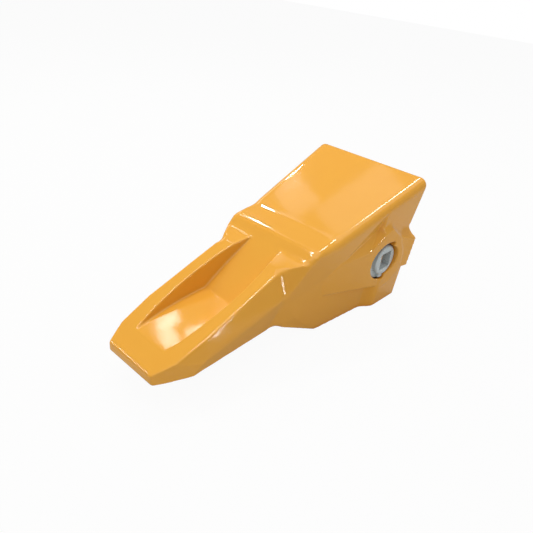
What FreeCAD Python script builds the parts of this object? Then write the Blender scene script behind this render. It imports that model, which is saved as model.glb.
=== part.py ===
import FreeCAD
import Part
import math
import os

# Bucket tooth tip with two turning locks. Millimetres, +Z up.
# The rear plane is x = 0 and the point looks along -X. The origin is the centre of the socket mouth,
# the casting is a mirror image about y = 0, and it rests on its flat underside.

V = FreeCAD.Vector

# Side view of the casting: runs forward from the rear plane, and heights above the underside
mouth_height = 75.0
rear_top_height = 154.3
first_crease_length = 132.0
first_crease_height = 110.7
shoulder_run = 29.3
shoulder_height = 106.0
step_run = 10.4
step_foot_height = 97.9
rail_back_run = 22.3
rail_back_height = 92.5
rail_run = 94.0
rail_front_height = 56.7
tip_run = 50.0
tip_top_height = 36.0
tip_underside_height = 25.0
belly_top_ahead = 3.0
belly_top_height = 29.0
belly_slope_run = 61.0
body_overlap = 12.0

# Half widths of the casting
rear_top_half_width = 77.0
shoulder_half_width = 61.0
rail_half_width = 42.3
blade_top_widening = 0.13
blade_underside_half_width = 41.3
blade_underside_widening = 0.04
base_rear_half_width = 59.3
base_front_half_width = 49.8

# Plan of the point
tip_side_behind = 45.0
tip_bulge_behind = 20.5
tip_bulge_half_width = 40.6
tip_point_half_width = 31.2
tip_bend_behind = 54.5
tip_bend_half_width = 43.6
tip_plan_slope = 0.255

# Leans of the side faces, in millimetres per millimetre of height
upper_flank_lean = 0.172
lower_flank_lean = 0.09
blade_upper_lean = 0.375
blade_lower_lean = 0.26

# Chamfer along the front of the belly, and the cheek that joins the flank to the blade above it
chamfer_front_half_width = 44.6
chamfer_top_ahead = 38.5
chamfer_top_height = 33.2
chamfer_foot_behind = 2.0

# Scoop between the rails
scoop_mid_half_width = 29.3
scoop_end_half_width = 21.0
scoop_back_ahead = 9.7
scoop_crease_ahead = 61.0
scoop_crease_depth = 22.0
scoop_floor_end_behind = 22.0
scoop_wall_draft = 0.22
scoop_corner = 6.0
scoop_front_corner = 12.0
scoop_crease_round = 6.0

# Socket for the nose of the adapter
socket_wall = 17.4
socket_roof = 18.0
socket_floor = 18.0
socket_depth = 125.0
socket_taper = 0.10
socket_lean = 0.10
socket_end_top = 95.0
socket_end_bottom = 43.0
socket_corner = 10.0

# Face of the side pad round the lock, set in from the widest edge of the casting, and its outline:
# each corner is a length and a height
lock_length = 43.4
lock_height = 62.7
pad_inset_at_lock = 8.2
pad_slant = 0.14
pad_lean = 0.07
pad_front_top = (141.7, 64.9)
pad_front_low = (137.3, 47.0)
pad_low_bend = (52.0, 30.1)
pad_low_rear = (33.0, 23.5)
pad_rear_low = (14.5, 42.0)
pad_rear_high = (14.5, 63.0)
pad_rear_top = (28.0, 89.0)
pad_crown = (46.5, 104.5)
pad_root_depth = 9.0
pad_wall_draft = 0.3

# Sloping facet in front of the crown of the pad
facet_front = (114.8, 82.0)
facet_bend = (77.1, 81.8)
facet_rear = (57.5, 98.5)
facet_top = (70.9, 108.1)

# Ear behind the pad, out to the rear plane, set in from the widest edge
ear_inset = 2.3
ear_slant = 0.19
ear_lean = 0.10
ear_top_rear_height = 81.0
ear_top_slope = 0.32
ear_bottom_height = 44.0
ear_top_draft = 0.9
ear_depth = 14.0

# Wide rear foot of the flank
foot_half_width = 64.4
foot_front_length = 71.0
foot_rear_length = 42.0
foot_recess = 3.0
foot_top_under_ear = 6.0
foot_start_slope = 0.2

# Lock, sleeve and their seat in the casting
square_drive = 19.05
square_clearance = 0.15
square_depth = 13.0
head_radius = 17.65
head_thickness = 5.0
head_sink = 1.6
head_chamfer = 1.2
skirt_radius = 23.0
skirt_gap = 0.3
sleeve_thickness = 2.4
sleeve_gap = 0.2
sleeve_end_angle = 4.0
opening_gap = 1.2
sector_radius = 24.0
tab_radius = 21.6
tab_sink = 1.5
tab_angle = 262.0
tab_half_angle = 11.0
tab_clearance_angle = 3.0
lock_turn = 180.0
post_radius = 12.0
post_length = 11.0
post_clearance = 1.0
web_gap = 0.8
pocket_gap = 0.8

# Edge rounding
rear_round = 3.5
foot_rear_round = 4.0
top_edge_round = 9.0
waist_edge_round = 8.0
shoulder_edge_round = 5.0
rail_round = 2.0
belly_round = 12.0
rail_front_round = 36.0
tip_round = 3.0

# Places that follow from the sizes above
base_z = -mouth_height
shoulder_length = first_crease_length + shoulder_run
step_foot_length = shoulder_length + step_run
rail_back_length = step_foot_length + rail_back_run
rail_front_length = rail_back_length + rail_run
tip_length = rail_front_length + tip_run
belly_top_length = rail_back_length + belly_top_ahead
belly_foot_length = belly_top_length - belly_slope_run
body_front_length = rail_back_length + body_overlap
lock_x = -lock_length
pad_half_width_at_lock = rear_top_half_width - pad_inset_at_lock
ear_half_width = rear_top_half_width - ear_inset
lock_z = base_z + lock_height
overcut = 2.0
far_out = 110.0


def height(value):
    return base_z + value


def line_through(x1, v1, x2, v2):
    slope = (v2 - v1) / (x2 - x1)
    return lambda x: v1 + slope * (x - x1)


def plane_width(x1, z1, w1, slope_x, slope_z):
    # Half width of a side plane as a function of its place on the side view.
    return lambda x, z: w1 + slope_x * (x - x1) + slope_z * (z - z1)


def plane_through(a, b, c):
    # Side plane through three points, each given as x, height and half width.
    normal = (V(*b) - V(*a)).cross(V(*c) - V(*a))
    return plane_width(a[0], a[1], a[2], -normal.x / normal.z, -normal.y / normal.z)


def across(point):
    return V(point.x, -point.y, point.z)


def mirrored(shape):
    return shape.mirror(V(0, 0, 0), V(0, 1, 0))


def both_sides(shape):
    return [shape, mirrored(shape)]


def line(start, end):
    return Part.LineSegment(start, end).toShape()


def arc(points):
    return Part.Arc(*points).toShape()


def flat_face(*points):
    return Part.Face(Part.makePolygon(list(points) + [points[0]]))


def corner_arc(corner, before, after, radius):
    # Start, middle and end of the arc that rounds a corner with these two sides.
    before = V(before).normalize()
    after = V(after).normalize()
    half_angle = before.getAngle(after) / 2.0
    reach = radius / math.tan(half_angle)
    bisector = (before + after).normalize()
    return [corner + before * reach, corner + bisector * (radius / math.sin(half_angle) - radius),
            corner + after * reach]


def rounded_outline(corners, place):
    # Closed wire through corners (u, v, radius), each corner rounded by an arc of its own radius.
    # place turns (u, v) into a point of the part.
    arcs = []
    for i, (u, v, radius) in enumerate(corners):
        corner = V(u, v, 0)
        before = V(corners[i - 1][0], corners[i - 1][1], 0)
        following = corners[(i + 1) % len(corners)]
        after = V(following[0], following[1], 0)
        arcs.append(corner_arc(corner, before - corner, after - corner, radius))
    edges = []
    for i, points in enumerate(arcs):
        if corners[i][2] > 0:
            edges.append(arc([place(p.x, p.y) for p in points]))
        start = points[2]
        end = arcs[(i + 1) % len(arcs)][0]
        if start.distanceToPoint(end) > 1e-6:
            edges.append(line(place(start.x, start.y), place(end.x, end.y)))
    return Part.Wire(edges)


def side_slab(corners, y_low, y_high):
    # Side view outline drawn out across the part.
    wire = rounded_outline(corners, lambda x, z: V(x, y_low, z))
    return Part.Face(wire).extrude(V(0, y_high - y_low, 0))


def between_sides(half_width, x_front, x_rear, z_low, z_high):
    # Solid between a side plane and its mirror image.
    places = [(x_front, z_low), (x_rear, z_low), (x_rear, z_high), (x_front, z_high)]
    far = [V(x, half_width(x, z), z) for x, z in places]
    near = [across(point) for point in far]
    faces = [flat_face(*far), flat_face(*near)]
    for i in range(4):
        j = (i + 1) % 4
        faces.append(flat_face(far[i], far[j], near[j], near[i]))
    return Part.makeSolid(Part.makeShell(faces))


def rod(radius, w_low, w_high):
    # Round bar on the near lock's axis, between two half widths.
    return Part.makeCylinder(radius, w_high - w_low, V(lock_x, -w_high, lock_z), V(0, 1, 0))


# Side planes and slopes shared by the parts of the casting
rear_top_z = height(rear_top_height)
shoulder_z = height(shoulder_height)
flank_slope = (rear_top_half_width - shoulder_half_width
               - upper_flank_lean * (rear_top_z - shoulder_z)) / shoulder_length
upper_flank = plane_width(0.0, rear_top_z, rear_top_half_width, flank_slope, upper_flank_lean)
base_slope = (base_rear_half_width - base_front_half_width) / belly_foot_length
lower_flank = plane_width(0.0, base_z, base_rear_half_width, base_slope, lower_flank_lean)
pad_face = plane_width(lock_x, lock_z, pad_half_width_at_lock, pad_slant, pad_lean)
ear_face = plane_width(0.0, lock_z, ear_half_width, ear_slant, ear_lean)
blade_upper_side = plane_width(-rail_back_length, height(rail_back_height), rail_half_width,
                               blade_top_widening, -blade_upper_lean)
blade_lower_side = plane_width(-belly_top_length, height(tip_underside_height), blade_underside_half_width,
                               -blade_underside_widening, blade_lower_lean)
rail_z = line_through(-rail_back_length, height(rail_back_height),
                      -rail_front_length, height(rail_front_height))
tip_z = line_through(-rail_front_length, height(rail_front_height), -tip_length, height(tip_top_height))
tip_bend_x = -tip_length + tip_bend_behind
tip_upper_side = plane_width(tip_bend_x, tip_z(tip_bend_x), tip_bend_half_width,
                             tip_plan_slope, -blade_upper_lean)


def upper_body():
    # Keystone body under the sloping top: flat faces between stations along its length,
    # with a rounded top corner on each side that gets smaller toward the point.
    stations = [
        (0.0, rear_top_z, top_edge_round),
        (-first_crease_length, height(first_crease_height), waist_edge_round),
        (-shoulder_length, shoulder_z, shoulder_edge_round),
        (-step_foot_length, height(step_foot_height), shoulder_edge_round),
        (-rail_back_length, height(rail_back_height), rail_round),
        (-body_front_length, rail_z(-body_front_length), rail_round),
    ]
    sections = []
    for x, z_top, radius in stations:
        corner = V(x, -upper_flank(x, z_top), z_top)
        near = corner_arc(corner, V(0, 1, 0), V(0, upper_flank_lean, -1), radius)
        near.append(V(x, -upper_flank(x, base_z), base_z))
        sections.append((near, [across(point) for point in near]))
    faces = []
    for (near, far), (next_near, next_far) in zip(sections, sections[1:]):
        faces.append(flat_face(near[0], next_near[0], next_far[0], far[0]))
        faces.append(flat_face(near[3], next_near[3], next_far[3], far[3]))
        for side, next_side in ((near, next_near), (far, next_far)):
            faces.append(Part.makeRuledSurface(arc(side[:3]), arc(next_side[:3])))
            faces.append(flat_face(side[2], next_side[2], next_side[3], side[3]))
    for near, far in (sections[0], sections[-1]):
        outline = [line(near[0], far[0]), arc(far[:3]), line(far[2], far[3]), line(far[3], near[3]),
                   line(near[3], near[2]), arc(near[:3])]
        faces.append(Part.Face(Part.Wire(outline)))
    shell = Part.makeShell(faces)
    shell.sewShape()
    body = Part.makeSolid(shell).removeSplitter()
    rim = [e for e in body.Edges if e.BoundBox.XMin > -0.01 and e.BoundBox.ZMax > base_z + 0.1]
    return body.makeFillet(rear_round, rim)


def below_flank_crossing():
    # Everything under the line where the two flank planes cross, and under the facet of the pad.
    def crossing(x):
        return (upper_flank(x, 0.0) - lower_flank(x, 0.0)) / (lower_flank_lean - upper_flank_lean)

    front = -body_front_length - overcut
    under_pad = (-facet_front[0] - facet_bend[0]) / 2.0
    inside = 12.0
    shelf = height(facet_front[1])
    corners = [(front, crossing(front) + inside, 0.0), (under_pad, crossing(under_pad) + inside, 0.0),
               (under_pad, shelf, 0.0), (0.0, shelf, 0.0), (0.0, base_z, 0.0), (front, base_z, 0.0)]
    return side_slab(corners, -far_out, far_out)


def flank_point(x, z):
    # Point of the lower flank, as x, height and half width.
    return (x, z, lower_flank(x, z))


def ridge_point(x):
    # Point where the upper and the lower side plane of the blade meet, as x, height and half width.
    z = (blade_upper_side(x, 0.0) - blade_lower_side(x, 0.0)) / (blade_upper_lean + blade_lower_lean)
    return (x, z, blade_upper_side(x, z))


def front_sides():
    # Side planes that narrow the front of the body: shoulder, cheek and belly chamfer.
    drop = height(rail_back_height) - shoulder_z
    shoulder_slope = (shoulder_half_width - rail_half_width - blade_upper_lean * drop) \
        / (rail_back_length - shoulder_length)
    shoulder_side = plane_width(-shoulder_length, shoulder_z, shoulder_half_width,
                                shoulder_slope, -blade_upper_lean)
    front = (-belly_top_length, height(belly_top_height), chamfer_front_half_width)
    top = flank_point(-belly_foot_length - chamfer_top_ahead, height(chamfer_top_height))
    foot = flank_point(-belly_foot_length + chamfer_foot_behind, base_z)
    return [shoulder_side, plane_through(front, top, ridge_point(-rail_back_length)),
            plane_through(front, top, foot)]


def body_block():
    # Socket body: keystone flanks above, steeper flanks below, and slanting shoulder faces in front.
    corners = [
        (0.0, rear_top_z, 0.0),
        (-first_crease_length, height(first_crease_height), 0.0),
        (-shoulder_length, shoulder_z, 0.0),
        (-step_foot_length, height(step_foot_height), 0.0),
        (-rail_back_length, height(rail_back_height), 0.0),
        (-body_front_length, rail_z(-body_front_length), 0.0),
        (-body_front_length, height(belly_top_height), 0.0),
        (-belly_top_length, height(belly_top_height), 0.0),
        (-belly_foot_length, base_z, belly_round),
        (0.0, base_z, 0.0),
    ]
    profile = side_slab(corners, -far_out, far_out)
    front = -body_front_length - overcut
    above = rear_top_z + overcut
    lower = profile.common(between_sides(lower_flank, front, 0.0, base_z, above))
    block = upper_body().common(profile).fuse(lower.common(below_flank_crossing()))
    for side in front_sides():
        block = block.common(between_sides(side, front, 0.0, base_z, above))
    return block


def tip_plan(rear):
    # Plan outline of the point: straight behind, then an arc on each side to the blunt front.
    side_x = -tip_length + tip_side_behind
    near_arc = [V(side_x, -ridge_point(side_x)[2], base_z),
                V(-tip_length + tip_bulge_behind, -tip_bulge_half_width, base_z),
                V(-tip_length, -tip_point_half_width, base_z)]
    far_arc = [across(point) for point in near_arc]
    points = [far_arc[0], V(side_x, far_out, base_z), V(rear, far_out, base_z),
              V(rear, -far_out, base_z), V(side_x, -far_out, base_z), near_arc[0]]
    edges = [arc(near_arc), line(near_arc[2], far_arc[2]), arc(far_arc)]
    for start, end in zip(points, points[1:]):
        edges.append(line(start, end))
    return Part.Face(Part.Wire(edges)).extrude(V(0, 0, 2 * far_out))


def blade_block():
    # Wedge-shaped blade: rails on top, a ridge along each side, and a tapered point.
    inside = -rail_back_length + 2 * body_overlap
    buried = 8.0
    corners = [
        (inside, height(rail_back_height) - buried, 0.0),
        (-rail_back_length, height(rail_back_height), 0.0),
        (-rail_front_length, height(rail_front_height), rail_front_round),
        (-tip_length, height(tip_top_height), tip_round),
        (-tip_length, height(tip_underside_height), tip_round),
        (-belly_top_length, height(belly_top_height), 0.0),
        (inside, height(belly_top_height), 0.0),
    ]
    blade = side_slab(corners, -far_out, far_out)
    low = height(tip_underside_height) - overcut
    high = height(rail_back_height) + overcut
    for side in (blade_upper_side, blade_lower_side, tip_upper_side):
        blade = blade.common(between_sides(side, -tip_length - overcut, inside, low, high))
    return blade.common(tip_plan(inside))


def scoop_cutter():
    # Relief between the rails: a ramp down from the step, then a flat floor that runs out toward the point.
    back = -shoulder_length - scoop_back_ahead
    crease = -shoulder_length - scoop_back_ahead - scoop_crease_ahead
    floor_end = -tip_length + scoop_floor_end_behind
    front = floor_end - scoop_front_corner
    crease_z = rail_z(crease) - scoop_crease_depth
    top = -step_foot_length
    ramp_z = line_through(crease, crease_z, top, height(step_foot_height))
    floor_z = line_through(crease, crease_z, floor_end, tip_z(floor_end))
    above = shoulder_z + overcut
    end = front - overcut
    corners = [(top, ramp_z(top), 0.0), (crease, crease_z, scoop_crease_round), (end, floor_z(end), 0.0),
               (end, above, 0.0), (top, above, 0.0)]
    profile = side_slab(corners, -far_out, far_out)

    def plan(depth):
        # Outline of the scoop at this depth below the rails: bulging sides, rounded ends.
        inset = scoop_wall_draft * depth
        end = scoop_end_half_width - inset
        middle = scoop_mid_half_width - inset

        def place(x, y):
            return V(x, y, rail_z(x) - depth)

        side = [place(back - scoop_corner, -end), place((back + front) / 2.0, -middle),
                place(front + scoop_front_corner, -end)]
        rear_near = corner_arc(V(back, -end, 0), V(-1, 0, 0), V(0, 1, 0), scoop_corner)
        front_near = corner_arc(V(front, -end, 0), V(1, 0, 0), V(0, 1, 0), scoop_front_corner)
        rear_arc = [place(p.x, p.y) for p in rear_near]
        front_arc = [place(p.x, p.y) for p in front_near]
        near = [arc(rear_arc), arc(side), arc(front_arc)]
        far = [arc([across(p) for p in points]) for points in (rear_arc, side, front_arc)]
        ends = [line(rear_arc[2], across(rear_arc[2])), line(front_arc[2], across(front_arc[2]))]
        return Part.Wire(Part.__sortEdges__(near + far + ends))

    deepest = scoop_crease_depth + 2 * overcut
    walls = Part.makeLoft([plan(-scoop_crease_depth), plan(deepest)], True, True)
    return profile.common(walls)


def drafted(face, outline, depth):
    # Raised block on the near side: its outline lies on the face and widens with the draft as it gets deeper.
    # Each corner is x, z, radius, and how far it moves along x and z for each millimetre of depth.
    def wire(deep):
        corners = [(x + move_x * deep, z + move_z * deep, radius) for x, z, radius, move_x, move_z in outline]
        return rounded_outline(corners, lambda x, z: V(x, -(face(x, z) - deep), z))

    return Part.makeLoft([wire(0.0), wire(depth)], True, True)


def pad_block():
    # Pad round the lock, with a crown above it that slopes back into the flank.
    side = pad_wall_draft
    outline = []
    for (length, up), radius, move_x, move_z in (
            (pad_front_top, 0.5, -1.5, 1.5), (pad_front_low, 5.0, -side, -side),
            (pad_low_bend, 10.0, 0.0, -side), (pad_low_rear, 18.0, side, -side),
            (pad_rear_low, 5.0, side, 0.0), (pad_rear_high, 12.0, side, side),
            (pad_rear_top, 8.0, 3 * side, 3 * side), (pad_crown, 4.0, -1.2, 1.5),
            (facet_rear, 2.0, -2.4, 2.0), (facet_bend, 3.0, -side, side),
            (facet_front, 1.0, -1.0, 1.0)):
        outline.append((-length, height(up), radius, move_x, move_z))
    return drafted(pad_face, outline, pad_root_depth)


def facet_wedge():
    # Flat facet that slopes from the flank to the pad in front of the crown.
    corners = (facet_front, facet_bend, facet_rear, facet_top)
    front, bend, rear, top = [(-length, height(up)) for length, up in corners]
    facet = plane_through((*front, upper_flank(*front)), (*top, upper_flank(*top)), (*bend, pad_face(*bend)))
    beyond = (2 * top[0] - rear[0], 2 * top[1] - rear[1])
    corners = [(front[0] - 2 * body_overlap, front[1] - overcut, 0.0), (*beyond, 0.0), (*rear, 0.0),
               (bend[0] + overcut, bend[1] - overcut, 0.0)]
    root = upper_flank(*front) - pad_root_depth
    prism = side_slab(corners, -far_out, -root)
    return prism.common(between_sides(facet, -body_front_length, 0.0, base_z, rear_top_z))


def ear_block():
    # Ear behind the pad, out to the rear plane.
    top_z = line_through(0.0, height(ear_top_rear_height), -lock_length,
                         height(ear_top_rear_height) + ear_top_slope * lock_length)
    front = lock_x
    bottom = height(ear_bottom_height)
    outline = [
        (front, bottom, 0.0, 0.0, -pad_wall_draft),
        (0.0, bottom, 0.0, 0.0, -pad_wall_draft),
        (0.0, top_z(0.0), 0.0, 0.0, ear_top_draft),
        (front, top_z(front), 0.0, 0.0, ear_top_draft),
    ]
    return drafted(ear_face, outline, ear_depth)


def foot_block():
    # Wide rear foot of the flank: it steps out in an S from the recessed part under the pad.
    top = height(ear_bottom_height + foot_top_under_ear)
    recess = lower_flank(-foot_front_length, base_z) - foot_recess
    inner = recess - pad_root_depth
    front = V(-foot_front_length - foot_recess, -recess, base_z)
    middle = V(-(foot_front_length + foot_rear_length) / 2.0, -(recess + foot_half_width) / 2.0, base_z)
    full = V(-foot_rear_length, -foot_half_width, base_z)
    curve = Part.BSplineCurve()
    curve.interpolate([front, middle, full], InitialTangent=V(1, -foot_start_slope, 0), FinalTangent=V(1, 0, 0))
    rear = V(0, -foot_half_width, base_z)
    rear_inner = V(0, -inner, base_z)
    front_inner = V(front.x, -inner, base_z)
    edges = [curve.toShape(), line(full, rear), line(rear, rear_inner), line(rear_inner, front_inner),
             line(front_inner, front)]
    foot = Part.Face(Part.Wire(edges)).extrude(V(0, -lower_flank_lean, 1) * (top - base_z))
    corner = [e for e in foot.Edges if e.BoundBox.XMin > -0.01 and e.BoundBox.YMax < -foot_half_width + 0.01
              and e.BoundBox.ZLength > 1.0]
    return foot.makeFillet(foot_rear_round, corner)


def socket_side(x, z):
    # Half width of the socket's side wall.
    roof_z = rear_top_z - socket_roof
    return upper_flank(0.0, roof_z) - socket_wall - socket_lean * (roof_z - z) + socket_taper * x


def socket():
    # Keystone pocket for the nose, smaller toward its closed end.
    roof_z = line_through(0.0, rear_top_z - socket_roof, -socket_depth, height(socket_end_top))
    floor_z = line_through(0.0, base_z + socket_floor, -socket_depth, height(socket_end_bottom))

    def section(x):
        corners = []
        for z, sign in ((roof_z(x), 1), (roof_z(x), -1), (floor_z(x), -1), (floor_z(x), 1)):
            corners.append((sign * socket_side(x, z), z, socket_corner))
        return rounded_outline(corners, lambda y, z: V(x, y, z))

    return Part.makeLoft([section(overcut), section(-socket_depth)], True, True)


# Places of the lock and its seat along the lock's axis
head_outer = pad_half_width_at_lock - head_sink
head_inner = head_outer - head_thickness
seat_radius = skirt_radius + skirt_gap + sleeve_thickness + sleeve_gap
seat_shoulder = head_inner + skirt_gap + sleeve_gap
lock_inner = socket_side(lock_x, lock_z) + pocket_gap
web_inner = lock_inner + post_length + web_gap
post_half = post_radius + post_clearance


def sector(radius, start_deg, end_deg, w_low, w_high):
    # Slice of a round bar about the lock axis. Angles run from the rear over the top, seen from the side.
    def at(angle):
        a = math.radians(angle)
        return V(lock_x + radius * math.cos(a), -w_high, lock_z + radius * math.sin(a))

    centre = V(lock_x, -w_high, lock_z)
    edges = [line(centre, at(start_deg)), arc([at(start_deg), at((start_deg + end_deg) / 2.0), at(end_deg)]),
             line(at(end_deg), centre)]
    return Part.Face(Part.Wire(edges)).extrude(V(0, w_high - w_low, 0))


def lock_seat():
    # Seat cut from inside, round opening for the head with the sector that the tab sweeps, and post channel.
    deep = lock_inner - socket_wall
    seat = rod(seat_radius, deep, seat_shoulder)
    opening = rod(head_radius + opening_gap, deep, far_out)
    sweep = sector(sector_radius, tab_angle - lock_turn - tab_half_angle - tab_clearance_angle,
                   tab_angle + tab_half_angle + tab_clearance_angle, seat_shoulder - overcut, far_out)
    channel = Part.makeBox(lock_length + overcut, web_inner - deep, 2 * post_half,
                           V(lock_x, -web_inner, lock_z - post_half))
    return seat.fuse([opening, sweep, channel])


def tip_casting():
    raised = [pad_block(), facet_wedge(), ear_block(), foot_block()]
    outer = body_block().fuse(blade_block()).cut(scoop_cutter())
    for piece in raised:
        for side in both_sides(piece):
            outer = outer.fuse(side)
    outer = outer.cut(socket())
    for seat in both_sides(lock_seat()):
        outer = outer.cut(seat)
    return outer.removeSplitter()


def near_lock():
    # Head with the square drive and stop tab, and a skirt with a slot that takes the post from behind.
    head = rod(head_radius, head_inner - overcut, head_outer)
    rim = [e for e in head.Edges if abs(e.CenterOfMass.y + head_outer) < 0.01]
    head = head.makeChamfer(head_chamfer, rim)
    skirt = rod(skirt_radius, lock_inner, head_inner)
    tab = sector(tab_radius, tab_angle - tab_half_angle, tab_angle + tab_half_angle,
                 head_inner - overcut, head_outer - tab_sink)
    lock = skirt.fuse([head, tab])
    side = square_drive + 2 * square_clearance
    square = Part.makeBox(side, square_depth + overcut, side,
                          V(lock_x - side / 2.0, -head_outer - overcut, lock_z - side / 2.0))
    slot = rod(post_half, lock_inner - overcut, web_inner)
    way = Part.makeBox(skirt_radius + overcut, web_inner - lock_inner + overcut, 2 * post_half,
                       V(lock_x, -web_inner, lock_z - post_half))
    return lock.cut(square).cut(slot.fuse(way)).removeSplitter()


def near_sleeve():
    # Polymer ring in the seat, open at the rear where the post comes in.
    inner = skirt_radius + skirt_gap
    outer = inner + sleeve_thickness
    w_low = lock_inner + skirt_gap
    w_high = seat_shoulder - sleeve_gap
    ring = rod(outer, w_low, w_high).cut(rod(inner, w_low - overcut, w_high + overcut))
    half = math.degrees(math.asin(post_half / inner)) + sleeve_end_angle
    gap = sector(2 * outer, -half, half, w_low - overcut, w_high + overcut)
    return ring.cut(gap)


def build():
    lock = near_lock()
    sleeve = near_sleeve()
    return {
        "tip_casting": tip_casting(),
        "near_lock": lock,
        "far_lock": mirrored(lock),
        "near_sleeve": sleeve,
        "far_sleeve": mirrored(sleeve),
    }


os.makedirs("parts", exist_ok=True)
for name, shape in build().items():
    print(name, "solids", len(shape.Solids), "valid", shape.isValid(),
          "volume", round(shape.Volume / 1000.0, 1))
    shape.Solids[0].exportStep("parts/" + name + ".step")
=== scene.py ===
# Bucket tooth tip: paint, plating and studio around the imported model, all in metres
import math

import bmesh
import bpy
from mathutils import Euler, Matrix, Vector


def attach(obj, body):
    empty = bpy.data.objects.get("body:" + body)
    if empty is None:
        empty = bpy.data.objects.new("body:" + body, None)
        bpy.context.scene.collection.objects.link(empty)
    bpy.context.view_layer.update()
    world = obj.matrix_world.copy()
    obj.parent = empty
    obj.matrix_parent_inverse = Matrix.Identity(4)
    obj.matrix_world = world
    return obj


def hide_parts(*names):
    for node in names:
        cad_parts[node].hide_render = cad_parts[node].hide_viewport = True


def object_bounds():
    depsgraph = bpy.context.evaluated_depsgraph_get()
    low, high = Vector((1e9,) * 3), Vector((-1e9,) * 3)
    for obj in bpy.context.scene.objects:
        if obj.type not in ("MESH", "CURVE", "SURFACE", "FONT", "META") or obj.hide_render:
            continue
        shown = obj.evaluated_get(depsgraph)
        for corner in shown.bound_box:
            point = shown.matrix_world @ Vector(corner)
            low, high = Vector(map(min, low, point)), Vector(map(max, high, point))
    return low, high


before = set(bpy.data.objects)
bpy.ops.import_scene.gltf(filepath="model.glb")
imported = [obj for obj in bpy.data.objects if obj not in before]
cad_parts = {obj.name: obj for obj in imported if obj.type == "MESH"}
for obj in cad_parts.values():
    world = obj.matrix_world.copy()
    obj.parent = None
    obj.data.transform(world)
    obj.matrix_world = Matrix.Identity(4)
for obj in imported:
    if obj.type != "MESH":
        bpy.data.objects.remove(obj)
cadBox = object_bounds()
print("frame loaded:", ", ".join(sorted(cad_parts)))

millimetre = 0.001
noiseSpan = {"From Min": 0.3, "From Max": 0.7}  # most of what a noise node gives lies between these


def linearColour(hexCode):
    channels = [int(hexCode[i:i + 2], 16) / 255 for i in (1, 3, 5)]
    linear = [c / 12.92 if c <= 0.04045 else ((c + 0.055) / 1.055) ** 2.4 for c in channels]
    return (*linear, 1.0)


def addNode(tree, kind, values=None, links=None, **settings):
    # values and links are keyed by socket name or number
    node = tree.nodes.new(kind)
    for name, value in settings.items():
        setattr(node, name, value)
    for socket, value in (values or {}).items():
        node.inputs[socket].default_value = value
    for socket, source in (links or {}).items():
        tree.links.new(source, node.inputs[socket])
    return node


def newMaterial(name):
    material = bpy.data.materials.new(name)
    material.use_nodes = True
    material.node_tree.nodes.clear()
    return material, material.node_tree


def perMillimetre(size):
    # noise scale for a feature of this size in millimetres
    return 1.0 / (size * millimetre)


enamel = {
    # sizes, heights and reach in millimetres
    "colour": "#F0AC3C",
    "cornerShadeAndBlotchColour": "#E39528",  # painted shade: darker in closed corners, where shade falls; also the colour of the random blotches
    "cornerReach": 9.0,
    "cornerOpen": (0.35, 0.95),  # how open a corner is where the painted shade is full, and where there is none
    "cornerSamples": 8,
    "blotchSize": 40.0,
    "blotchShare": 0.12,  # most of the darker corner-shade colour that a blotch takes
    "roughness": (0.05, 0.09),
    "ior": 1.5,
    "orangePeelSize": 2.6,
    "orangePeelHeight": 0.004,
    "castWaveSize": 26.0,
    "castWaveHeight": 0.05,
}


def enamelMaterial():
    # dipped gloss enamel over a shot-blasted steel casting: even colour with random darker blotches and
    # painted shade in closed corners, soft waves in its reflections
    material, tree = newMaterial("glossEnamelOnCasting")
    place = addNode(tree, "ShaderNodeTexCoord").outputs["Object"]
    blotches, fine, waves = [
        addNode(tree, "ShaderNodeTexNoise", {"Scale": perMillimetre(enamel[size]), "Detail": detail},
                {"Vector": place}).outputs["Fac"]
        for size, detail in (("blotchSize", 3.0), ("orangePeelSize", 2.0), ("castWaveSize", 1.0))]
    # painted shade: ambient occlusion darkens the enamel colour in closed corners and creases
    corners = addNode(tree, "ShaderNodeAmbientOcclusion",
                      {"Distance": enamel["cornerReach"] * millimetre}, samples=enamel["cornerSamples"])
    closed, plain = enamel["cornerOpen"]
    paintedCornerShade = addNode(tree, "ShaderNodeMapRange",
                    {"From Min": closed, "From Max": plain, "To Min": 1.0, "To Max": 0.0},
                    {"Value": corners.outputs["AO"]})
    mottled = addNode(tree, "ShaderNodeMapRange",
                      {**noiseSpan, "To Min": 0.0, "To Max": enamel["blotchShare"]}, {"Value": blotches})
    share = addNode(tree, "ShaderNodeMath", {},
                    {0: paintedCornerShade.outputs["Result"], 1: mottled.outputs["Result"]}, operation="MAXIMUM")
    colour = addNode(tree, "ShaderNodeMix",
                     {6: linearColour(enamel["colour"]), 7: linearColour(enamel["cornerShadeAndBlotchColour"])},
                     {0: share.outputs["Value"]}, data_type="RGBA")
    glossiest, dullest = enamel["roughness"]
    gloss = addNode(tree, "ShaderNodeMapRange",
                    {**noiseSpan, "To Min": glossiest, "To Max": dullest}, {"Value": blotches})
    peel = addNode(tree, "ShaderNodeBump",
                   {"Strength": 1.0, "Distance": enamel["orangePeelHeight"] * millimetre},
                   {"Height": fine})
    wavy = addNode(tree, "ShaderNodeBump",
                   {"Strength": 1.0, "Distance": enamel["castWaveHeight"] * millimetre},
                   {"Height": waves, "Normal": peel.outputs["Normal"]})
    shader = addNode(tree, "ShaderNodeBsdfPrincipled", {"IOR": enamel["ior"]},
                     {"Base Color": colour.outputs[2], "Roughness": gloss.outputs["Result"],
                      "Normal": wavy.outputs["Normal"]})
    addNode(tree, "ShaderNodeOutputMaterial", {}, {"Surface": shader.outputs["BSDF"]})
    return material


zinc = {
    # sizes and height in millimetres
    "colour": "#D5DFE1",
    "cloudColour": "#BAC5C8",
    "cloudSize": 3.0,
    "roughness": (0.22, 0.42),
    "metallic": 0.25,  # the dull plating scatters most of the light
    "grainSize": 0.5,
    "grainHeight": 0.01,
}


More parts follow.
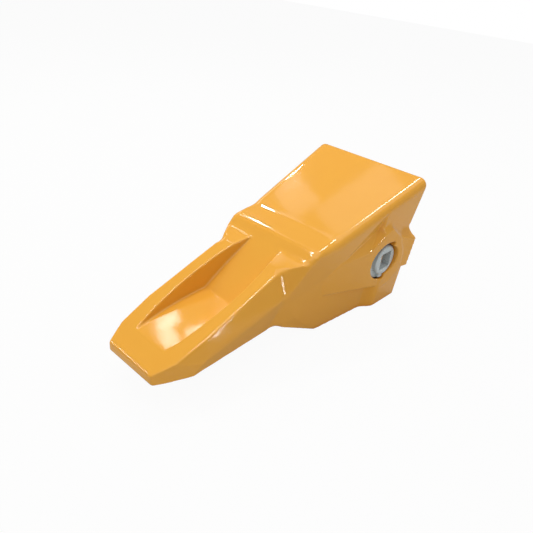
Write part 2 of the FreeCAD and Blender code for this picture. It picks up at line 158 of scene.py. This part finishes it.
def zincMaterial():
    # zinc plated steel forging: cool grey, half dull, with faint clouds from the bath
    material, tree = newMaterial("zincPlatedSteel")
    place = addNode(tree, "ShaderNodeTexCoord").outputs["Object"]
    clouds, fine = [
        addNode(tree, "ShaderNodeTexNoise", {"Scale": perMillimetre(zinc[size]), "Detail": detail},
                {"Vector": place}).outputs["Fac"]
        for size, detail in (("cloudSize", 4.0), ("grainSize", 2.0))]
    glossiest, dullest = zinc["roughness"]
    gloss = addNode(tree, "ShaderNodeMapRange",
                    {**noiseSpan, "To Min": glossiest, "To Max": dullest}, {"Value": clouds})
    tint = addNode(tree, "ShaderNodeMix",
                   {6: linearColour(zinc["colour"]), 7: linearColour(zinc["cloudColour"])},
                   {0: clouds}, data_type="RGBA")
    grain = addNode(tree, "ShaderNodeBump",
                    {"Strength": 1.0, "Distance": zinc["grainHeight"] * millimetre}, {"Height": fine})
    shader = addNode(tree, "ShaderNodeBsdfPrincipled", {"Metallic": zinc["metallic"]},
                     {"Base Color": tint.outputs[2], "Roughness": gloss.outputs["Result"],
                      "Normal": grain.outputs["Normal"]})
    addNode(tree, "ShaderNodeOutputMaterial", {}, {"Surface": shader.outputs["BSDF"]})
    return material


polymer = {
    # size and height in millimetres
    "colour": "#1B1B1D",
    "roughness": (0.45, 0.6),
    "ior": 1.5,
    "grainSize": 0.8,
    "grainHeight": 0.02,
}


def polymerMaterial():
    # moulded black polyurethane: satin, with a fine mould grain
    material, tree = newMaterial("mouldedPolyurethane")
    place = addNode(tree, "ShaderNodeTexCoord").outputs["Object"]
    fine = addNode(tree, "ShaderNodeTexNoise",
                   {"Scale": perMillimetre(polymer["grainSize"]), "Detail": 2.0},
                   {"Vector": place}).outputs["Fac"]
    glossiest, dullest = polymer["roughness"]
    gloss = addNode(tree, "ShaderNodeMapRange",
                    {**noiseSpan, "To Min": glossiest, "To Max": dullest}, {"Value": fine})
    grain = addNode(tree, "ShaderNodeBump",
                    {"Strength": 1.0, "Distance": polymer["grainHeight"] * millimetre}, {"Height": fine})
    shader = addNode(tree, "ShaderNodeBsdfPrincipled",
                     {"Base Color": linearColour(polymer["colour"]), "IOR": polymer["ior"]},
                     {"Roughness": gloss.outputs["Result"], "Normal": grain.outputs["Normal"]})
    addNode(tree, "ShaderNodeOutputMaterial", {}, {"Surface": shader.outputs["BSDF"]})
    return material


finishes = {"enamel": enamelMaterial(), "zinc": zincMaterial(), "polymer": polymerMaterial()}
print("finishes ready:", ", ".join(finishes))


castingSkin = {
    # all lengths in millimetres
    "merge": 0.005,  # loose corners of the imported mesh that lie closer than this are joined
    "grid": 0.75,  # between surface points while the corners are eased
    "steps": 9,
    "pull": 0.5,
    "softSteps": 45,
    "kept": 0.23,  # share of the faces left after flat places are thinned out
    "softEdges": {
        # corners that the mould rounds more than the rest: start, end and reach, the same on both sides
        "bladeRidge": ((-284.0, 48.0, -28.5), (-196.0, 51.5, -19.0), 9.0),
        "cheek": ((-196.0, 46.0, -42.0), (-176.0, 51.5, -18.0), 13.0),
        "cheekTop": ((-190.0, 52.0, -16.0), (-162.0, 56.0, -6.0), 12.0),
        "shoulderCorner": ((-194.0, 43.0, 16.0), (-194.0, 51.0, -18.0), 8.0),
        "shoulderEdge": ((-161.3, 0.0, 31.0), (-161.3, 56.0, 31.0), 5.0),
        "stepFoot": ((-171.7, 0.0, 22.9), (-171.7, 52.0, 22.9), 5.0),
        "firstCrease": ((-132.0, 0.0, 35.7), (-132.0, 60.0, 35.7), 12.0),
        "crownRoot": ((-46.0, 66.0, 36.0), (-22.0, 68.0, 22.0), 8.0),
        "earRoot": ((-22.0, 67.0, 20.0), (0.0, 68.0, 14.0), 8.0),
    },
    "facetCut": {
        # planes that cut the sloping facet before the crown of each pad, each through three points,
        # which are given as place along the row, half width and height
        "facetFront": ((-114.8, 59.1, 7.0), (-77.1, 65.4, 6.8), (-62.0, 61.0, 29.1)),
        "facetRear": ((-77.1, 65.4, 6.8), (-57.5, 69.3, 23.5), (-62.0, 61.0, 29.1)),
        "upperWall": ((-114.8, 59.1, 7.0), (-62.0, 61.0, 29.1), (-62.0, 69.3, 52.0)),
        "endWall": ((-57.5, 69.3, 23.5), (-62.0, 61.0, 29.1), (-60.0, 67.6, 41.0)),
    },
}


def mergedCopy(node, name):
    # a new piece with the node's shape, its loose triangles joined up
    mesh = bpy.data.meshes.new(name)
    shape = bmesh.new()
    shape.from_mesh(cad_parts[node].data)
    bmesh.ops.remove_doubles(shape, verts=shape.verts, dist=castingSkin["merge"] * millimetre)
    shape.to_mesh(mesh)
    shape.free()
    piece = bpy.data.objects.new(name, mesh)
    bpy.context.scene.collection.objects.link(piece)
    return piece


def beginTree(name, inputs):
    # a tree with these inputs and a finish, and the place of each point, whole and in parts
    tree = bpy.data.node_groups.new(name, "GeometryNodeTree")
    tree.interface.new_socket("Geometry", in_out="INPUT", socket_type="NodeSocketGeometry")
    for label, kind in {**inputs, "Finish": "NodeSocketMaterial"}.items():
        tree.interface.new_socket(label, in_out="INPUT", socket_type=kind)
    tree.interface.new_socket("Geometry", in_out="OUTPUT", socket_type="NodeSocketGeometry")
    entry = addNode(tree, "NodeGroupInput").outputs
    place = addNode(tree, "GeometryNodeInputPosition").outputs["Position"]
    parts = addNode(tree, "ShaderNodeSeparateXYZ", {}, {"Vector": place}).outputs
    return tree, entry, place, parts


def endTree(tree, entry, target):
    # moves each point to its target, then makes the surface real and gives it the finish
    moved = addNode(tree, "GeometryNodeSetPosition", {},
                    {"Geometry": entry["Geometry"], "Position": target})
    real = addNode(tree, "GeometryNodeRealizeInstances", {}, {"Geometry": moved.outputs["Geometry"]})
    coloured = addNode(tree, "GeometryNodeSetMaterial", {},
                       {"Geometry": real.outputs["Geometry"], "Material": entry["Finish"]})
    addNode(tree, "NodeGroupOutput", {}, {"Geometry": coloured.outputs["Geometry"]})


def applyTree(piece, tree, values):
    # inputs are set by identifier, before the piece is first evaluated
    modifier = piece.modifiers.new(tree.name, "NODES")
    modifier.node_group = tree
    for item in tree.interface.items_tree:
        if item.in_out == "INPUT" and item.name in values:
            modifier[item.identifier] = values[item.name]


def greatest(tree, values):
    top = values[0]
    for value in values[1:]:
        top = addNode(tree, "ShaderNodeMath", {}, {0: top, 1: value}, operation="MAXIMUM").outputs[0]
    return top


def facetCutTree(planes):
    # brings the surface in to the outermost of the cutting planes, the same on both sides
    tree, entry, _, parts = beginTree("facetCut", dict.fromkeys(planes, "NodeSocketVector"))
    spot = addNode(tree, "ShaderNodeCombineXYZ", {"Z": 1.0}, {"X": parts["X"], "Y": parts["Z"]}).outputs[0]
    halfWidths = [addNode(tree, "ShaderNodeVectorMath", {}, {0: spot, 1: entry[name]},
                          operation="DOT_PRODUCT").outputs["Value"] for name in planes]
    width = addNode(tree, "ShaderNodeMath", {}, {0: parts["Y"]}, operation="ABSOLUTE").outputs[0]
    kept = addNode(tree, "ShaderNodeMath", {}, {0: width, 1: greatest(tree, halfWidths)},
                   operation="MINIMUM").outputs[0]
    side = addNode(tree, "ShaderNodeMath", {}, {0: parts["Y"]}, operation="SIGN").outputs[0]
    sideways = addNode(tree, "ShaderNodeMath", {}, {0: kept, 1: side}, operation="MULTIPLY").outputs[0]
    target = addNode(tree, "ShaderNodeCombineXYZ", {}, {"X": parts["X"], "Y": sideways, "Z": parts["Z"]})
    endTree(tree, entry, target.outputs[0])
    return tree


def planeWidth(points):
    # half width of a plane as slope along the row, slope up, and value at the origin, in metres
    a, b, c = (Vector(point) for point in points)
    normal = (b - a).cross(c - a)
    along, up = -normal.x / normal.y, -normal.z / normal.y
    return along, up, (a.y - along * a.x - up * a.z) * millimetre


def nearEdge(tree, place, start, end, reach):
    # one on the straight edge from start to end, none beyond its reach
    along = addNode(tree, "ShaderNodeVectorMath", {}, {0: end, 1: start}, operation="SUBTRACT").outputs[0]
    off = addNode(tree, "ShaderNodeVectorMath", {}, {0: place, 1: start}, operation="SUBTRACT").outputs[0]
    dot = addNode(tree, "ShaderNodeVectorMath", {}, {0: off, 1: along}, operation="DOT_PRODUCT")
    square = addNode(tree, "ShaderNodeVectorMath", {}, {0: along, 1: along}, operation="DOT_PRODUCT")
    share = addNode(tree, "ShaderNodeMath", {}, {0: dot.outputs["Value"], 1: square.outputs["Value"]},
                    operation="DIVIDE", use_clamp=True)
    foot = addNode(tree, "ShaderNodeVectorMath", {}, {0: along, "Scale": share.outputs[0]},
                   operation="SCALE").outputs[0]
    gap = addNode(tree, "ShaderNodeVectorMath", {}, {0: off, 1: foot}, operation="DISTANCE")
    return addNode(tree, "ShaderNodeMapRange", {"To Min": 1.0, "To Max": 0.0},
                   {"Value": gap.outputs["Value"], "From Max": reach},
                   interpolation_type="SMOOTHSTEP").outputs["Result"]


def softEdgeTree(edges):
    # evens out the surface near the listed corners, more the nearer it is to one
    inputs = {"Steps": "NodeSocketInt"}
    for name in edges:
        inputs.update({name + " start": "NodeSocketVector", name + " end": "NodeSocketVector",
                       name + " reach": "NodeSocketFloat"})
    tree, entry, place, parts = beginTree("softEdges", inputs)
    sideways = addNode(tree, "ShaderNodeMath", {}, {0: parts["Y"]}, operation="ABSOLUTE").outputs[0]
    folded = addNode(tree, "ShaderNodeCombineXYZ", {},
                     {"X": parts["X"], "Y": sideways, "Z": parts["Z"]}).outputs[0]
    nearness = [nearEdge(tree, folded, entry[name + " start"], entry[name + " end"], entry[name + " reach"])
                for name in edges]
    blurred = addNode(tree, "GeometryNodeBlurAttribute", {},
                      {"Iterations": entry["Steps"], "Weight": greatest(tree, nearness)},
                      data_type="FLOAT_VECTOR")
    # only the sockets of the chosen data type are enabled
    tree.links.new(place, next(s for s in blurred.inputs if s.enabled and s.type == "VECTOR"))
    endTree(tree, entry, next(s for s in blurred.outputs if s.enabled))
    return tree


def bakeModifiers(piece):
    evaluated = piece.evaluated_get(bpy.context.evaluated_depsgraph_get())
    mesh = bpy.data.meshes.new_from_object(evaluated)
    piece.modifiers.clear()
    piece.data = mesh


def makeCasting():
    # the casting, its corners rounded as the mould and the blasting leave them
    piece = mergedCopy("tip_casting", "castingSkin")
    grid = piece.modifiers.new("grid", "REMESH")
    grid.mode = "VOXEL"
    grid.voxel_size = castingSkin["grid"] * millimetre
    grid.use_smooth_shade = True
    planes = {name: planeWidth(points) for name, points in castingSkin["facetCut"].items()}
    applyTree(piece, facetCutTree(planes), {**planes, "Finish": finishes["enamel"]})
    ease = piece.modifiers.new("easedCorners", "SMOOTH")
    ease.factor = castingSkin["pull"]
    ease.iterations = castingSkin["steps"]
    edges = {}
    for name, (start, end, reach) in castingSkin["softEdges"].items():
        edges[name + " start"] = [c * millimetre for c in start]
        edges[name + " end"] = [c * millimetre for c in end]
        edges[name + " reach"] = reach * millimetre
    applyTree(piece, softEdgeTree(castingSkin["softEdges"]),
              {**edges, "Steps": castingSkin["softSteps"], "Finish": finishes["enamel"]})
    thin = piece.modifiers.new("thinned", "DECIMATE")
    thin.ratio = castingSkin["kept"]
    bakeModifiers(piece)
    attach(piece, "casting")
    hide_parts("tip_casting")
    return piece


casting = makeCasting()
print("casting skin:", len(casting.data.polygons), "faces")


def dress(node, finish):
    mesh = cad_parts[node].data
    mesh.materials.clear()
    mesh.materials.append(finishes[finish])


for side in ("near", "far"):
    dress(side + "_lock", "zinc")
    dress(side + "_sleeve", "polymer")
print("locks and sleeves dressed")


studio = {
    "floorSize": 6.0,
    "floorColour": "#CFCFCD",
    "floorGlow": 0.95,  # share of plain white that the camera sees
    "worldColour": "#FFFFFF",
    "worldStrength": 0.38,  # what lights the part, while the camera sees plain white
}

panels = {
    # place and turn about X, Y, Z, then width, height (metres), and brightness against plain white
    "overhead": ((-0.15, 0.0, 1.8), (0.0, 0.0, 0.0), 2.0, 1.8, 1.02),
    "front": ((-1.6, -0.5, 1.05), (52.0, 0.0, -72.0), 1.0, 1.0, 1.0),
    "longStrip": ((-0.25, 0.65, 1.33), (-26.0, 0.0, 0.0), 0.6, 0.07, 28.0),
    "tipPane": ((-1.085, 0.96, 0.7), (-54.0, 0.0, 38.0), 0.3, 0.06, 40.0),
    "scoopPaneHigh": ((0.188, 0.974, 1.017), (-29.3, 4.0, -14.0), 0.089, 0.044, 12.0),
    "scoopPaneLow": ((0.152, 0.932, 1.046), (-28.2, 6.4, -9.3), 0.060, 0.053, 9.0),
    "creasePane": ((0.452, 0.897, 0.981), (47.6, 0.0, 145.6), 0.06, 0.05, 130.0),
    "shoulderPane": ((0.248, 0.899, 1.054), (43.0, 0.0, 154.7), 0.08, 0.02, 10.0),
    "farWindow": ((0.35, 1.15, 0.78), (-55.0, 0.0, -25.0), 0.4, 0.16, 3.0),
    "topPaneLeft": ((0.424, 0.89, 1.152), (-22.9, -2.1, -17.3), 0.123, 0.144, 1.1),
    "topPaneRight": ((0.543, 0.681, 1.215), (-20.0, 1.2, -20.0), 0.318, 0.178, 0.8),
    "topEdgePane": ((0.56, 0.36, 1.28), (-17.0, 26.0, 0.0), 0.4, 0.18, 17.0),
    "sideStripA": ((0.07, -1.52, 0.085), (90.0, 0.0, 0.0), 0.025, 0.31, 70.0),
    "sideStripB": ((0.25, -1.5, 0.085), (90.0, 0.0, 0.0), 0.012, 0.31, 70.0),
}

cameraSetup = {
    "place": (-0.54256, -0.32719, 0.28174),
    "turn": (59.7444, -4.8980, -46.0006),  # degrees about X, Y, Z
    "lens": 37.15,  # millimetres, like the sensor
    "sensor": 36.0,
    "nearest": 0.01,  # metres
}


def makeFloor():
    half = studio["floorSize"] / 2
    level = cadBox[0][2]
    mesh = bpy.data.meshes.new("floor")
    corners = [(-half, -half, level), (half, -half, level), (half, half, level), (-half, half, level)]
    mesh.from_pydata(corners, [], [(0, 1, 2, 3)])
    floor = bpy.data.objects.new("floor", mesh)
    bpy.context.scene.collection.objects.link(floor)
    material, tree = newMaterial("paleFloor")
    rays = addNode(tree, "ShaderNodeLightPath")
    share = addNode(tree, "ShaderNodeMath", {1: studio["floorGlow"]},
                    {0: rays.outputs["Is Camera Ray"]}, operation="MULTIPLY")
    matt = addNode(tree, "ShaderNodeBsdfDiffuse", {"Color": linearColour(studio["floorColour"])})
    white = addNode(tree, "ShaderNodeEmission", {"Strength": 1.0})
    mixed = addNode(tree, "ShaderNodeMixShader", {},
                    {0: share.outputs["Value"], 1: matt.outputs["BSDF"], 2: white.outputs["Emission"]})
    addNode(tree, "ShaderNodeOutputMaterial", {}, {"Surface": mixed.outputs["Shader"]})
    mesh.materials.append(material)


def makeWorld():
    world = bpy.data.worlds.new("studioWorld")
    bpy.context.scene.world = world
    world.use_nodes = True
    tree = world.node_tree
    tree.nodes.clear()
    rays = addNode(tree, "ShaderNodeLightPath")
    strength = addNode(tree, "ShaderNodeMapRange", {"To Min": studio["worldStrength"], "To Max": 1.0},
                       {"Value": rays.outputs["Is Camera Ray"]})
    sky = addNode(tree, "ShaderNodeBackground", {"Color": linearColour(studio["worldColour"])},
                  {"Strength": strength.outputs["Result"]})
    addNode(tree, "ShaderNodeOutputWorld", {}, {"Surface": sky.outputs["Background"]})


def makePanel(name, place, turn, width, height, brightness):
    lamp = bpy.data.lights.new(name, "AREA")
    lamp.shape = "RECTANGLE"
    lamp.size = width
    lamp.size_y = height
    lamp.energy = brightness * math.pi * width * height  # watts
    panel = bpy.data.objects.new(name, lamp)
    panel.location = place
    panel.rotation_euler = Euler([math.radians(a) for a in turn])
    panel.visible_camera = False
    bpy.context.scene.collection.objects.link(panel)


def makeCamera():
    lens = bpy.data.cameras.new("camera")
    lens.lens = cameraSetup["lens"]
    lens.sensor_width = cameraSetup["sensor"]
    lens.clip_start = cameraSetup["nearest"]
    camera = bpy.data.objects.new("camera", lens)
    camera.location = cameraSetup["place"]
    camera.rotation_euler = Euler([math.radians(a) for a in cameraSetup["turn"]])
    bpy.context.scene.collection.objects.link(camera)
    bpy.context.scene.camera = camera


makeFloor()
makeWorld()
for name, panel in panels.items():
    makePanel(name, *panel)
makeCamera()
bpy.context.scene.view_settings.view_transform = "Standard"
print("studio ready")
